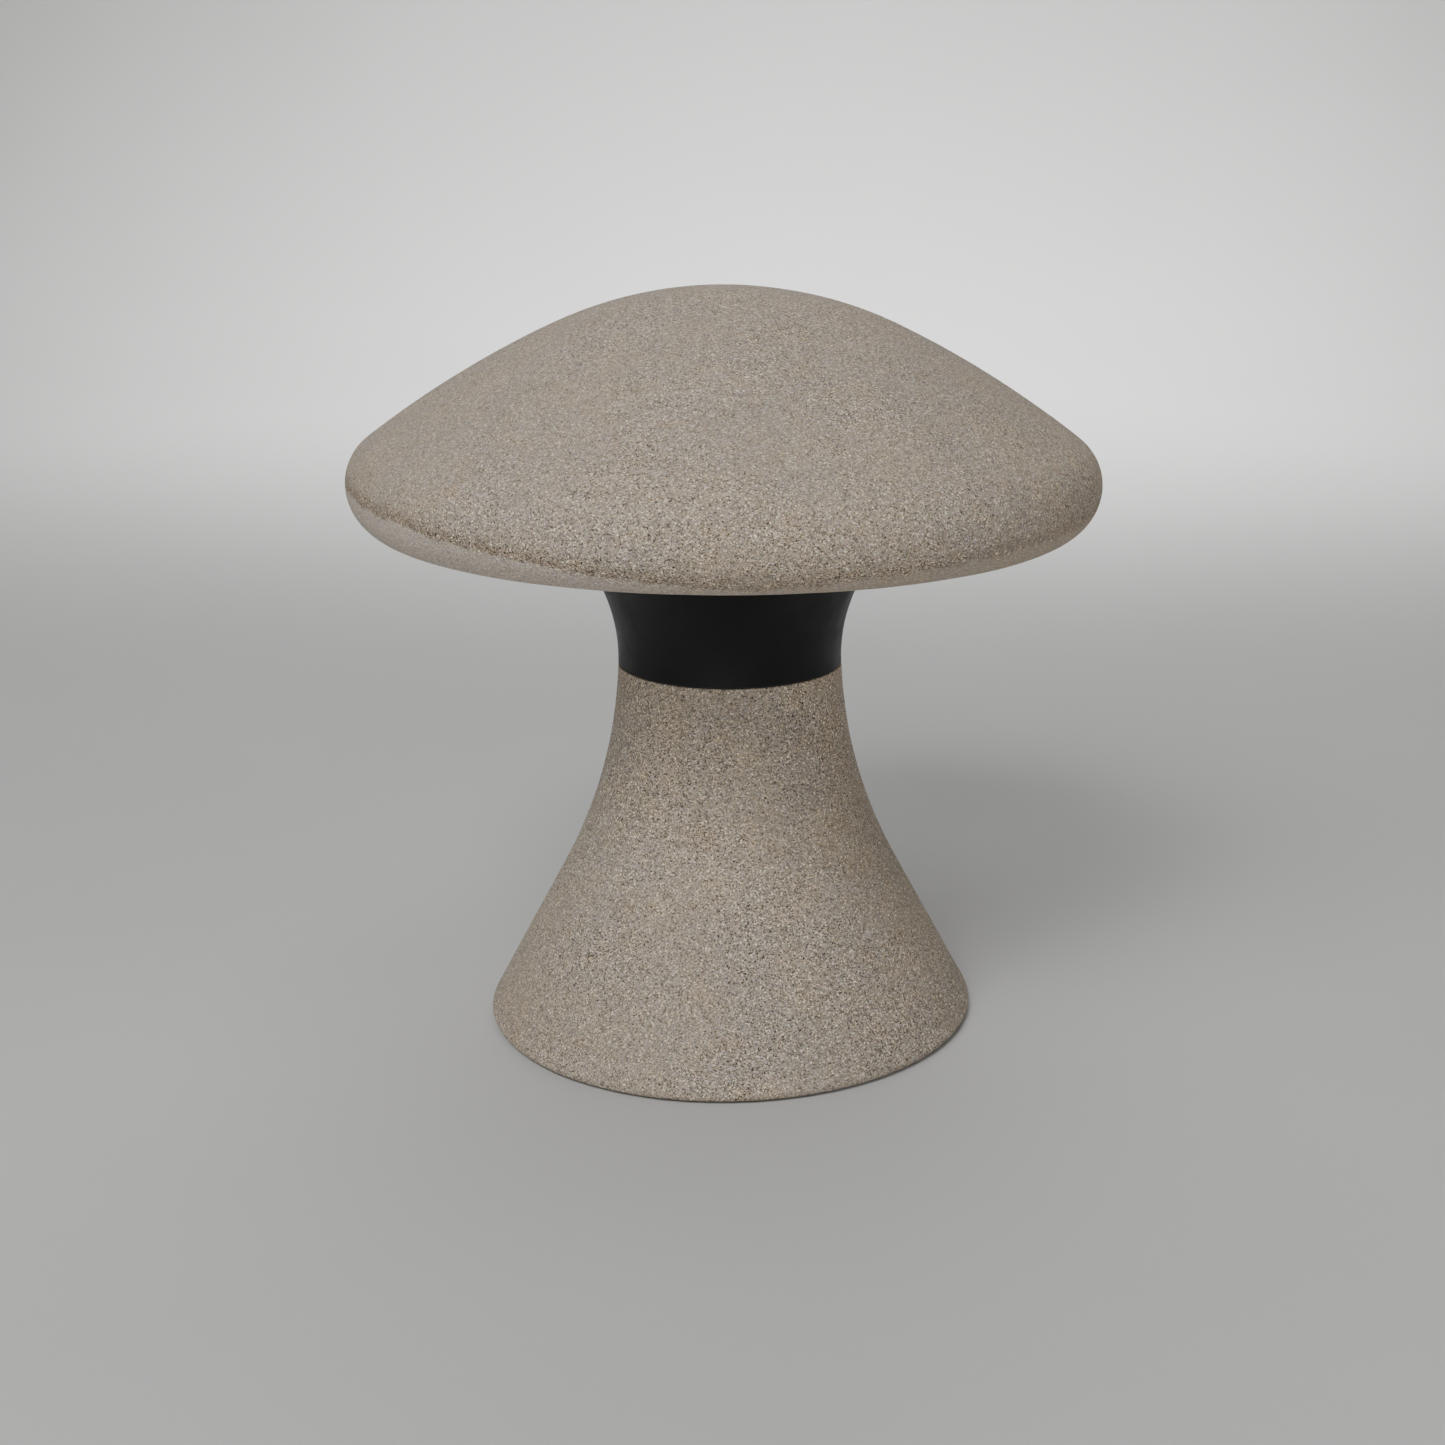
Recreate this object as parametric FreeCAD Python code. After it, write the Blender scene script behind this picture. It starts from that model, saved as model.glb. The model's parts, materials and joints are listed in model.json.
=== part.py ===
import FreeCAD, Part
import math
import os

# Mushroom-shaped garden lantern, in millimetres. +Z is up, the origin is the middle of the footprint on
# the ground, and -Y is the front. A cast stone cap and a cast stone base are clamped to a black
# aluminium collar, and the light ring faces down from inside the cap's rim.

Vector = FreeCAD.Vector
UP = Vector(0, 0, 1)

# Driving dimensions: the outside of the lantern
TOTAL_HEIGHT = 362.0
CAP_RADIUS = 179.0
CROWN_RADIUS = 196.0      # the cap's top, a ball of this radius
CROWN_TILT = 25.6         # slope in degrees where the crown meets the flank
FLANK_TILT = 37.1         # slope where the flank meets the rim
RIM_RADIUS = 23.4         # the cap's rounded rim
FOOT_RADIUS = 123.9       # where the base's flank would meet its underside, before rounding
FOOT_ROUND = 3.0
LIP_ROUND = 2.0           # where the cap's underside turns into its opening
NECK_ROUND = 0.6          # the base's upper edge
FLANK_LEAN = 28.24        # the base flank's angle from the vertical
NECK_RADIUS = 54.8
NECK_LEAN = 2.4           # the base's angle from the vertical at its top
NECK_HEIGHT = 181.0       # middle of the joint between base and collar
COLLAR_FLARE = 84.5       # radius of the collar's hollow outline

# Walls
CAP_WALL = 18.0
BASE_WALL = 15.0
COLLAR_WALL = 4.0
SHEET = 2.0

# Heights
STONE_FOOT = 1.0          # the stone's underside, lifted by the foot ring
GROOVE_TOP = 2.5          # the foot ring sits in a groove this high
GASKET = 1.0
BASE_TOP = NECK_HEIGHT - GASKET / 2
COLLAR_SEAT = NECK_HEIGHT + GASKET / 2
SPIGOT_DEPTH = 13.0       # how far the collar goes down into the base
SOCKET_DEPTH = 14.0
LEDGE = 112.0             # the ledge inside the base that the clamp plate pulls against
COLLAR_BRIM = 252.0       # the collar's wide upper edge, level with the bezel
SHOULDER = 254.5          # the diffuser lies on this level
DIFFUSER_TOP = 257.0
RIB_FOOT = DIFFUSER_TOP + GASKET
PLATE_LOW = 264.0         # the light housing's plate
PLATE_TOP = 268.0
CAP_SEAT = PLATE_TOP + GASKET
COLLAR_TOP = PLATE_LOW - GASKET
COLLAR_DECK = 6.0         # thickness of the collar's upper disc

# Radii of the fastener circles
ROD_CIRCLE = 35.0
BEZEL_CIRCLE = 144.75
BOARD_SCREW_CIRCLE = 103.0
LED_CIRCLE = 116.0
LEAD_CIRCLE = 105.0
ANCHOR_CIRCLE = 75.0
VENT_Y = -92.0
BRACKET_SCREW_Y = -38.0

ROD_ANGLES = (90, 210, 330)
COLLAR_SCREW_ANGLES = (30, 150, 270)
BEZEL_ANGLES = range(0, 360, 60)
BOARD_ANGLES = range(0, 360, 60)
SKIRT_ANGLES = (15, 165)  # round the back, so the front stays plain
ANCHOR_ANGLES = (0, 90, 180, 270)

# Fasteners: thread radii and lengths
INSERT_RADIUS = 3.35
INSERT_LENGTH = 12.0
BEZEL_SCREW = 2.0
BEZEL_SCREW_HOLE = 2.3
COUNTERSINK = 1.9         # depth of the bezel screws' heads
BOARD_SCREW = 1.5
COLLAR_SCREW = 3.0
COLLAR_SCREW_HOLE = 3.3
BRACKET_SCREW = 2.5
DRIVER_SCREW = 1.95
SKIRT_SCREW = 3.0
LID_SCREW = 1.3
BOX_SCREW = 1.65
WASHER = 1.6              # thickness

# Light ring
RECESS_RADIUS = 150.0     # the cap's opening
CAVITY_RADIUS = 132.0     # the hollow above the light housing
HOUSING_RADIUS = 149.0
BEZEL_INNER = 135.5
BEZEL_STEP = 140.5
COLLAR_BOSS = 80.5        # the collar's raised middle, inside the diffuser
INNER_RIB = (82.0, 86.0)
OUTER_RIB = (134.0, 138.5)
BOARD = (98.0, 128.0)
BOARD_THICK = 1.6
LED_COUNT = 48
LED_SIZE = 3.5
LED_HEIGHT = 0.8
BOSS_TOP = PLATE_TOP + 14     # the bosses that take the collar screws
FIN_HEIGHT = 8.0
GROMMET_LIP = 2.0

# Clamp, driver and wiring
PLATE_THICK = 4.0
CLAMP_RADIUS = 50.0
CLAMP_TOP = LEDGE - GASKET
CLAMP_LOW = CLAMP_TOP - PLATE_THICK
CLAMP_HOLE = 24.0
ROD_RADIUS = 4.0
ROD_LOW = 94.0
ROD_TOP = 190.0
DRIVER_X = 19.0           # half width
DRIVER_Y = 11.0           # half depth
DRIVER_LOW = 66.0
DRIVER_TOP = 160.0
DRIVER_WALL = 1.8
DRIVER_SCREW_HEIGHTS = (82, 97)
DRIVER_BOSS = 4.0         # radius of the screw bosses and of the bushes' sockets
BOARD_FACE = -3.0         # the driver's board rests on the screw bosses here
BUSH_LENGTH = 8.0
OUTPUT_LEAD = 2.75        # radius
INPUT_LEAD = 3.25         # radius
LEAD_ARCH = 288.0         # how high the output lead rises inside the cap
OUTPUT_BEND = 16.0
INPUT_BEND = 20.0
LOOP_X = 72.0             # the input lead's slack loop
LOOP_LOW = 26.0
LOOP_TOP = 34.0

# Ground plate and junction box
GROUND_RADIUS = 100.0
CABLE_HOLE = 12.5
ANCHOR_HOLE = 5.0
LUG_RADIUS = 86.0
LUG_THICK = 3.0
SKIRT_SCREW_HEIGHT = 20.0
SKIRT_BUSH = 4.9          # outer radius of the sleeves that guide the locking screws
BOX_X = 28.0              # half width
BOX_Y = (27.0, 63.0)
BOX_TOP = 28.0
BOX_WALL = 2.2
GLAND_HEIGHT = 17.0
GLAND_Y = (BOX_Y[0] + BOX_Y[1]) / 2
LID_TOP = 33.0
BOX_PILLAR = 3.4          # radius of the lid screws' pillars
BOX_SCREWS = ((-18.0, GLAND_Y - 12), (18.0, GLAND_Y - 12))
TERMINAL_X = 9.0          # half width of the terminal block
TERMINAL_XS = (-5, 5)
TERMINAL_YS = (GLAND_Y - 4, GLAND_Y + 2, GLAND_Y + 8)
GLAND_BORE = 3.6
GLAND_TAIL = 5.9
GLAND_STUB = 6.6
SEAL = 0.8

CLEAR = 0.05              # radial room between a fastener and its hole
OVER = 1.0                # how far a cutting shape reaches past what it cuts
NEAR = 0.1                # an edge this close to a level counts as lying on it


def sin(degrees):
    return math.sin(math.radians(degrees))


def cos(degrees):
    return math.cos(math.radians(degrees))


def tan(degrees):
    return math.tan(math.radians(degrees))


# ---- shapes that everything is built from ----

def cylinder(radius, low, high, x=0.0, y=0.0):
    return Part.makeCylinder(radius, high - low, Vector(x, y, low))


def drill(radius, low, high, x=0.0, y=0.0):
    """A round cutter that reaches past both levels."""
    return cylinder(radius, low - OVER, high + OVER, x, y)


def ring(inner, outer, low, high, x=0.0, y=0.0):
    return cylinder(outer, low, high, x, y).cut(drill(inner, low, high, x, y))


def peg(radius, x, z, low, high):
    """A cylinder along +Y between two depths."""
    return Part.makeCylinder(radius, high - low, Vector(x, low, z), Vector(0, 1, 0))


def block(x, y, z):
    """A box from three (low, high) pairs."""
    corner = Vector(x[0], y[0], z[0])
    return Part.makeBox(x[1] - x[0], y[1] - y[0], z[1] - z[0], corner)


def hexagon(across_flats, low, high, x=0.0, y=0.0):
    reach = across_flats / 2 / cos(30)
    corners = [Vector(x + reach * cos(a), y + reach * sin(a), low) for a in range(0, 420, 60)]
    return Part.Face(Part.makePolygon(corners)).extrude(UP * (high - low))


def cone(radius_low, radius_high, low, high):
    return Part.makeCone(radius_low, radius_high, high - low, Vector(0, 0, low))


def turned(shape, degrees):
    copy = shape.copy()
    copy.rotate(Vector(0, 0, 0), UP, degrees)
    return copy


def around(shape, angles, radius=0.0):
    """Copies of a shape made on the axis, moved out to a radius and turned to each angle."""
    moved = shape.copy()
    moved.translate(Vector(radius, 0, 0))
    return [turned(moved, a) for a in angles]


def laid_along_x(shape, x, y, z, facing=1):
    """A shape made along +Z from the origin, laid along +X or -X and moved to a point."""
    copy = shape.copy()
    copy.rotate(Vector(0, 0, 0), Vector(0, 1, 0), 90 * facing)
    copy.translate(Vector(x, y, z))
    return copy


def joined(*shapes):
    whole = shapes[0].multiFuse(list(shapes[1:]))
    return whole.removeSplitter()


def group(shapes):
    return Part.makeCompound(list(shapes))


class Outline:
    """A closed half section in the XZ plane, drawn with lines and arcs, then turned about Z."""

    def __init__(self, r, z):
        self.start = self.at = Vector(r, 0, z)
        self.edges = []

    def line(self, r, z):
        end = Vector(r, 0, z)
        self.edges.append(Part.LineSegment(self.at, end).toShape())
        self.at = end
        return self

    def arc(self, centre, r, z):
        """An arc the short way round a centre, given as (r, z), to a point."""
        end = Vector(r, 0, z)
        middle = Vector(centre[0], 0, centre[1])
        halfway = (self.at - middle).normalize() + (end - middle).normalize()
        through = middle + halfway.normalize() * (end - middle).Length
        self.edges.append(Part.Arc(self.at, through, end).toShape())
        self.at = end
        return self

    def turn(self):
        self.line(self.start.x, self.start.z)
        face = Part.Face(Part.Wire(self.edges))
        return face.revolve(Vector(0, 0, 0), UP, 360)


def rounded(shape, radius, level, least=0.0, most=math.inf):
    """Rounds the circular edges on a level whose radius lies between the limits."""
    chosen = [
        e for e in shape.Edges
        if not e.Degenerated
        and isinstance(e.Curve, Part.Circle)
        and abs(e.Curve.Axis.z) > cos(1)
        and abs(e.Curve.Center.z - level) <= NEAR
        and least <= e.Curve.Radius <= most
    ]
    return shape.makeFillet(radius, chosen)


# ---- the three curves of the outside ----

def cap_curve(inset):
    """The cap's outer curve moved inwards: its crown and flank centres, radii and meeting points."""
    rise = CROWN_RADIUS * sin(CROWN_TILT) + RIM_RADIUS * (1 - sin(FLANK_TILT))
    flank_radius = (CAP_RADIUS - rise) / (sin(FLANK_TILT) - sin(CROWN_TILT))
    crown = (0.0, TOTAL_HEIGHT - CROWN_RADIUS)
    back = flank_radius - CROWN_RADIUS
    flank = (-back * sin(CROWN_TILT), crown[1] - back * cos(CROWN_TILT))
    reach = flank_radius - inset
    return {
        "crown": crown,
        "flank": flank,
        "flank_radius": reach,
        "apex": (0.0, TOTAL_HEIGHT - inset),
        "crown_end": (flank[0] + reach * sin(CROWN_TILT), flank[1] + reach * cos(CROWN_TILT)),
        "flank_end": (flank[0] + reach * sin(FLANK_TILT), flank[1] + reach * cos(FLANK_TILT)),
    }


def base_curve(inset):
    """The base's outer curve moved inwards: the flare's centre and radius, and its lower end."""
    across = FOOT_RADIUS - NECK_RADIUS - (NECK_HEIGHT - STONE_FOOT) * tan(FLANK_LEAN)
    bend = cos(NECK_LEAN) - cos(FLANK_LEAN) - (sin(FLANK_LEAN) - sin(NECK_LEAN)) * tan(FLANK_LEAN)
    flare = across / bend
    centre = (NECK_RADIUS + flare * cos(NECK_LEAN), NECK_HEIGHT + flare * sin(NECK_LEAN))
    reach = flare + inset
    return {
        "centre": centre,
        "radius": reach,
        "end": (centre[0] - reach * cos(FLANK_LEAN), centre[1] - reach * sin(FLANK_LEAN)),
    }


def radius_at(centre, radius, z):
    """The inner crossing of a circle, on the side nearer the axis, with a level."""
    return centre[0] - math.sqrt(radius ** 2 - (z - centre[1]) ** 2)


def wall_at(z, inset=0.0):
    """The base flank's radius at a level below the flare."""
    r, height = base_curve(inset)["end"]
    return r + (height - z) * tan(FLANK_LEAN)


# ---- stone ----

def make_cap():
    outer = cap_curve(0.0)
    inner = cap_curve(CAP_WALL)
    rim = (CAP_RADIUS - RIM_RADIUS, outer["flank_end"][1] - RIM_RADIUS * cos(FLANK_TILT))
    lip = rim[1] - RIM_RADIUS
    across = CAVITY_RADIUS - inner["flank"][0]
    dome = inner["flank"][1] + math.sqrt(inner["flank_radius"] ** 2 - across ** 2)

    section = Outline(*outer["apex"])
    section.arc(outer["crown"], *outer["crown_end"])
    section.arc(outer["flank"], *outer["flank_end"])
    section.arc(rim, CAP_RADIUS, rim[1])
    section.arc(rim, rim[0], lip)
    section.line(RECESS_RADIUS, lip)
    section.line(RECESS_RADIUS, CAP_SEAT)
    section.line(CAVITY_RADIUS, CAP_SEAT)
    section.line(CAVITY_RADIUS, dome)
    section.arc(inner["flank"], *inner["crown_end"])
    section.arc(inner["crown"], *inner["apex"])
    cap = rounded(section.turn(), LIP_ROUND, lip, most=RECESS_RADIUS + OVER)
    insert_hole = drill(INSERT_RADIUS + CLEAR, CAP_SEAT, CAP_SEAT + INSERT_LENGTH + OVER)
    return cap.cut(group(around(insert_hole, BEZEL_ANGLES, BEZEL_CIRCLE)))


def make_base():
    outer = base_curve(0.0)
    inner = base_curve(BASE_WALL)
    neck_bore = 40.0
    socket = 47.2
    groove = (110.0, 118.0)
    ledge_reach = radius_at(inner["centre"], inner["radius"], LEDGE)

    section = Outline(radius_at(outer["centre"], outer["radius"], BASE_TOP), BASE_TOP)
    section.arc(outer["centre"], *outer["end"])
    section.line(FOOT_RADIUS, STONE_FOOT)
    section.line(groove[1], STONE_FOOT)
    section.line(groove[1], GROOVE_TOP)
    section.line(groove[0], GROOVE_TOP)
    section.line(groove[0], STONE_FOOT)
    section.line(wall_at(STONE_FOOT, BASE_WALL), STONE_FOOT)
    section.line(*inner["end"])
    section.arc(inner["centre"], ledge_reach, LEDGE)
    section.line(neck_bore, LEDGE)
    section.line(neck_bore, BASE_TOP - SOCKET_DEPTH)
    section.line(socket, BASE_TOP - SOCKET_DEPTH)
    section.line(socket, BASE_TOP)
    base = rounded(section.turn(), FOOT_ROUND, STONE_FOOT, least=FOOT_RADIUS - OVER)
    base = rounded(base, NECK_ROUND, BASE_TOP, least=NECK_RADIUS - OVER)
    hole = cylinder(SKIRT_BUSH + 2 * CLEAR, wall_at(SKIRT_SCREW_HEIGHT, 2 * BASE_WALL), FOOT_RADIUS)
    hole = laid_along_x(hole, 0, 0, SKIRT_SCREW_HEIGHT)
    return base.cut(group(turned(hole, a) for a in SKIRT_ANGLES))


# ---- collar and light ring ----

def collar_centre():
    return (NECK_RADIUS + COLLAR_FLARE * cos(NECK_LEAN), NECK_HEIGHT + COLLAR_FLARE * sin(NECK_LEAN))


def make_collar():
    centre = collar_centre()
    inside = COLLAR_FLARE + COLLAR_WALL
    brim = radius_at(centre, COLLAR_FLARE, COLLAR_BRIM)
    spigot_low = COLLAR_SEAT - SPIGOT_DEPTH
    spigot = (42.3, 46.8)
    step, throat_top = 187.0, 243.0
    deck_low = COLLAR_TOP - COLLAR_DECK
    deck_hole = 16.0
    boss_radius, boss_top = 9.0, ROD_TOP + 6
    rod_hole_top = ROD_TOP + 2

    section = Outline(spigot[1], spigot_low)
    section.line(spigot[1], COLLAR_SEAT)
    section.line(radius_at(centre, COLLAR_FLARE, COLLAR_SEAT), COLLAR_SEAT)
    section.arc(centre, brim, COLLAR_BRIM)
    section.line(brim, SHOULDER)
    section.line(COLLAR_BOSS, SHOULDER)
    section.line(COLLAR_BOSS, COLLAR_TOP)
    section.line(deck_hole, COLLAR_TOP)
    section.line(deck_hole, deck_low)
    section.line(radius_at(centre, inside, throat_top), deck_low)
    section.line(radius_at(centre, inside, throat_top), throat_top)
    section.arc(centre, radius_at(centre, inside, step), step)
    section.line(spigot[0], step)
    section.line(spigot[0], spigot_low)
    boss = cylinder(boss_radius, spigot_low, boss_top)
    collar = joined(section.turn(), *around(boss, ROD_ANGLES, ROD_CIRCLE))
    rod_hole = cylinder(ROD_RADIUS, spigot_low - OVER, rod_hole_top)
    screw_hole = drill(COLLAR_SCREW_HOLE, deck_low, COLLAR_TOP)
    holes = around(rod_hole, ROD_ANGLES, ROD_CIRCLE)
    holes += around(screw_hole, COLLAR_SCREW_ANGLES, ROD_CIRCLE)
    return collar.cut(group(holes))


def make_light_housing():
    boss_radius, hub_hole, lead_hole, vent_hole = 8.0, 8.0, 5.0, 2.6
    fin_reach, fin_half = (48.0, 126.0), 1.5
    blind = 0.5               # metal left above the board screws' holes
    plate = cylinder(HOUSING_RADIUS, PLATE_LOW, PLATE_TOP)
    ribs = [ring(*INNER_RIB, RIB_FOOT, PLATE_LOW), ring(*OUTER_RIB, RIB_FOOT, PLATE_LOW)]
    bosses = around(cylinder(boss_radius, PLATE_TOP, BOSS_TOP), COLLAR_SCREW_ANGLES, ROD_CIRCLE)
    fin = block(fin_reach, (-fin_half, fin_half), (PLATE_TOP, PLATE_TOP + FIN_HEIGHT))
    fins = around(fin, range(15, 375, 30))
    housing = joined(plate, *ribs, *bosses, *fins)
    holes = [drill(hub_hole, PLATE_LOW, PLATE_TOP)]
    holes += [drill(lead_hole, PLATE_LOW, PLATE_TOP, 0, LEAD_CIRCLE)]
    holes += [drill(vent_hole, PLATE_LOW, PLATE_TOP, 0, VENT_Y)]
    collar_hole = cylinder(COLLAR_SCREW + CLEAR, PLATE_LOW - OVER, BOSS_TOP - 2)
    holes += around(collar_hole, COLLAR_SCREW_ANGLES, ROD_CIRCLE)
    holes += around(drill(BEZEL_SCREW_HOLE, PLATE_LOW, PLATE_TOP), BEZEL_ANGLES, BEZEL_CIRCLE)
    board_hole = cylinder(BOARD_SCREW + CLEAR, PLATE_LOW - OVER, PLATE_TOP - blind)
    holes += around(board_hole, BOARD_ANGLES, BOARD_SCREW_CIRCLE)
    return housing.cut(group(holes))


def make_bezel():
    edge_round, seat_radius = 0.8, 3.9
    section = Outline(BEZEL_INNER, COLLAR_BRIM)
    section.line(HOUSING_RADIUS, COLLAR_BRIM)
    section.line(HOUSING_RADIUS, PLATE_LOW)
    section.line(BEZEL_STEP, PLATE_LOW)
    section.line(BEZEL_STEP, SHOULDER)
    section.line(BEZEL_INNER, SHOULDER)
    bezel = rounded(section.turn(), edge_round, COLLAR_BRIM)
    seat = cone(seat_radius, BEZEL_SCREW_HOLE, COLLAR_BRIM, COLLAR_BRIM + COUNTERSINK)
    shank = drill(BEZEL_SCREW_HOLE, COLLAR_BRIM, PLATE_LOW)
    return bezel.cut(group(around(joined(seat, shank), BEZEL_ANGLES, BEZEL_CIRCLE)))


def make_bezel_screws():
    head_radius, key, key_depth, grip = 3.7, 2.5, 1.4, 9.0
    head = cone(head_radius, BEZEL_SCREW, COLLAR_BRIM, COLLAR_BRIM + COUNTERSINK)
    shank = cylinder(BEZEL_SCREW, COLLAR_BRIM + OVER, CAP_SEAT + grip)
    socket = hexagon(key, COLLAR_BRIM - OVER, COLLAR_BRIM + key_depth)
    return group(around(joined(head, shank).cut(socket), BEZEL_ANGLES, BEZEL_CIRCLE))


def make_cap_inserts():
    insert = ring(BEZEL_SCREW + CLEAR, INSERT_RADIUS, CAP_SEAT, CAP_SEAT + INSERT_LENGTH)
    return group(around(insert, BEZEL_ANGLES, BEZEL_CIRCLE))


def make_cap_seal():
    return ring(CAVITY_RADIUS + 1, BEZEL_STEP, PLATE_TOP, CAP_SEAT)


def make_diffuser():
    inner_gap, outer_gap, edge_round = 0.8, 0.7, 0.5
    lens = ring(COLLAR_BOSS + inner_gap, BEZEL_STEP - outer_gap, SHOULDER, DIFFUSER_TOP)
    return rounded(lens, edge_round, SHOULDER)


def make_led_board():
    low = PLATE_LOW - BOARD_THICK
    lead_hole, screw_hole = 3.4, 1.7
    holes = [drill(lead_hole, low, PLATE_LOW, 0, LEAD_CIRCLE)]
    holes += around(drill(screw_hole, low, PLATE_LOW), BOARD_ANGLES, BOARD_SCREW_CIRCLE)
    return ring(*BOARD, low, PLATE_LOW).cut(group(holes))


def make_led_packages():
    dimple_low, dimple_top, dimple_depth = 1.4, 1.1, 0.3
    top = PLATE_LOW - BOARD_THICK
    low = top - LED_HEIGHT
    half = LED_SIZE / 2
    body = block((-half, half), (-half, half), (low, top))
    dimple = cone(dimple_low, dimple_top, low, low + dimple_depth)
    step = 360 / LED_COUNT
    angles = [step * (n + 0.5) for n in range(LED_COUNT)]
    return group(around(body.cut(dimple), angles, LED_CIRCLE))


def make_board_screws():
    head_radius, head_height, key = 2.8, 2.0, 2.0
    top = PLATE_LOW - BOARD_THICK
    low = top - head_height
    head = cylinder(head_radius, low, top)
    screw = joined(head, cylinder(BOARD_SCREW, top, PLATE_TOP - OVER))
    socket = hexagon(key, low - OVER, low + head_height / 2)
    return group(around(screw.cut(socket), BOARD_ANGLES, BOARD_SCREW_CIRCLE))


def make_board_connector():
    half_width, front, back, height = 6, 6, 4, 3.4
    slot_x, slot_half, slot_depth = 3, 1.2, 3
    slot_low, slot_top = 2.4, 1
    top = PLATE_LOW - BOARD_THICK
    face = LEAD_CIRCLE - front
    body = block((-half_width, half_width), (face, LEAD_CIRCLE + back), (top - height, top))
    slot_y = (face - OVER, face + slot_depth)
    slot_z = (top - slot_low, top - slot_top)
    slots = [block((x - slot_half, x + slot_half), slot_y, slot_z) for x in (-slot_x, slot_x)]
    return body.cut(group(slots))


def make_hub_grommet():
    bore, sheath_radius, lip_radius = OUTPUT_LEAD + CLEAR, 7.9, 10.5
    sheath = ring(bore, sheath_radius, PLATE_LOW, PLATE_TOP)
    lower_lip = ring(bore, lip_radius, PLATE_LOW - GROMMET_LIP, PLATE_LOW)
    upper_lip = ring(bore, lip_radius, PLATE_TOP, PLATE_TOP + GROMMET_LIP)
    return joined(sheath, lower_lip, upper_lip)


def make_board_grommet():
    bore, sheath_radius, lip_radius = OUTPUT_LEAD + CLEAR, 4.9, 7.0
    sheath = ring(bore, sheath_radius, PLATE_LOW, PLATE_TOP, 0, LEAD_CIRCLE)
    lip = ring(bore, lip_radius, PLATE_TOP, PLATE_TOP + GROMMET_LIP, 0, LEAD_CIRCLE)
    return joined(sheath, lip)


def make_vent_plug():
    stem_radius, across_flats, head_height, bore = 2.5, 9.0, 3.0, 1.0
    low = PLATE_LOW - OVER
    stem = cylinder(stem_radius, low, PLATE_TOP, 0, VENT_Y)
    head = hexagon(across_flats, PLATE_TOP, PLATE_TOP + head_height, 0, VENT_Y)
    vent = cylinder(bore, low - OVER, PLATE_TOP + head_height - OVER, 0, VENT_Y)
    return joined(stem, head).cut(vent)


def make_collar_screws():
    head_radius, head_height, key, key_depth, grip = 5.0, 6.0, 5.0, 3.0, 8.0
    head_top = COLLAR_TOP - COLLAR_DECK - WASHER
    head_low = head_top - head_height
    head = cylinder(head_radius, head_low, head_top)
    shank = cylinder(COLLAR_SCREW, head_top, PLATE_TOP + grip)
    screw = joined(head, shank).cut(hexagon(key, head_low - OVER, head_low + key_depth))
    return group(around(screw, COLLAR_SCREW_ANGLES, ROD_CIRCLE))


def make_collar_washers():
    inner, outer = 3.2, 6.0
    deck_low = COLLAR_TOP - COLLAR_DECK
    return group(around(ring(inner, outer, deck_low - WASHER, deck_low), COLLAR_SCREW_ANGLES, ROD_CIRCLE))


def make_hub_seal():
    inner, outer = 60.0, 78.0
    return ring(inner, outer, COLLAR_TOP, PLATE_LOW)


def make_neck_gasket():
    inner, inset = 48.0, 0.8
    return ring(inner, NECK_RADIUS - inset, BASE_TOP, COLLAR_SEAT)


# ---- clamp and driver ----

def make_tie_rods():
    rod = cylinder(ROD_RADIUS - CLEAR, ROD_LOW, ROD_TOP)
    return group(around(rod, ROD_ANGLES, ROD_CIRCLE))


def make_clamp_plate():
    plate = ring(CLAMP_HOLE, CLAMP_RADIUS, CLAMP_LOW, CLAMP_TOP)
    holes = around(drill(ROD_RADIUS + 0.3, CLAMP_LOW, CLAMP_TOP), ROD_ANGLES, ROD_CIRCLE)
    holes.append(drill(BRACKET_SCREW + CLEAR, CLAMP_LOW, CLAMP_TOP, 0, BRACKET_SCREW_Y))
    return plate.cut(group(holes))


def make_clamp_pad():
    inner = 41.0
    return ring(inner, CLAMP_RADIUS, CLAMP_TOP, LEDGE)


def make_tie_washers():
    gap, outer = 0.2, 8.5
    washer = ring(ROD_RADIUS + gap, outer, CLAMP_LOW - WASHER, CLAMP_LOW)
    return group(around(washer, ROD_ANGLES, ROD_CIRCLE))


def make_tie_nuts():
    across_flats, height = 13.0, 6.5
    top = CLAMP_LOW - WASHER
    nut = hexagon(across_flats, top - height, top).cut(drill(ROD_RADIUS, top - height, top))
    return group(around(nut, ROD_ANGLES, ROD_CIRCLE))


def make_driver_bracket():
    wide, leg_low, flange_front = (-10.0, 10.0), 76.0, -46.0
    screw_hole, driver_hole = 2.7, 2.1
    leg_y = (-DRIVER_Y - SHEET, -DRIVER_Y)
    leg = block(wide, leg_y, (leg_low, CLAMP_LOW))
    flange = block(wide, (flange_front, -DRIVER_Y), (CLAMP_LOW - SHEET, CLAMP_LOW))
    holes = [drill(screw_hole, CLAMP_LOW - SHEET, CLAMP_LOW, 0, BRACKET_SCREW_Y)]
    holes += [peg(driver_hole, 0, z, leg_y[0] - OVER, leg_y[1] + OVER) for z in DRIVER_SCREW_HEIGHTS]
    return joined(leg, flange).cut(group(holes))


def make_bracket_screw():
    across_flats, head_height = 8.0, 3.5
    low = CLAMP_LOW - SHEET
    head = hexagon(across_flats, low - head_height, low, 0, BRACKET_SCREW_Y)
    return joined(head, cylinder(BRACKET_SCREW, low, CLAMP_TOP, 0, BRACKET_SCREW_Y))


def make_driver_screws():
    head_radius, head_height, length = 3.5, 2.5, 8.0
    face = -DRIVER_Y - SHEET
    screws = []
    for z in DRIVER_SCREW_HEIGHTS:
        head = peg(head_radius, 0, z, face - head_height, face)
        screws.append(joined(head, peg(DRIVER_SCREW, 0, z, face, face + length)))
    return group(screws)


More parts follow.
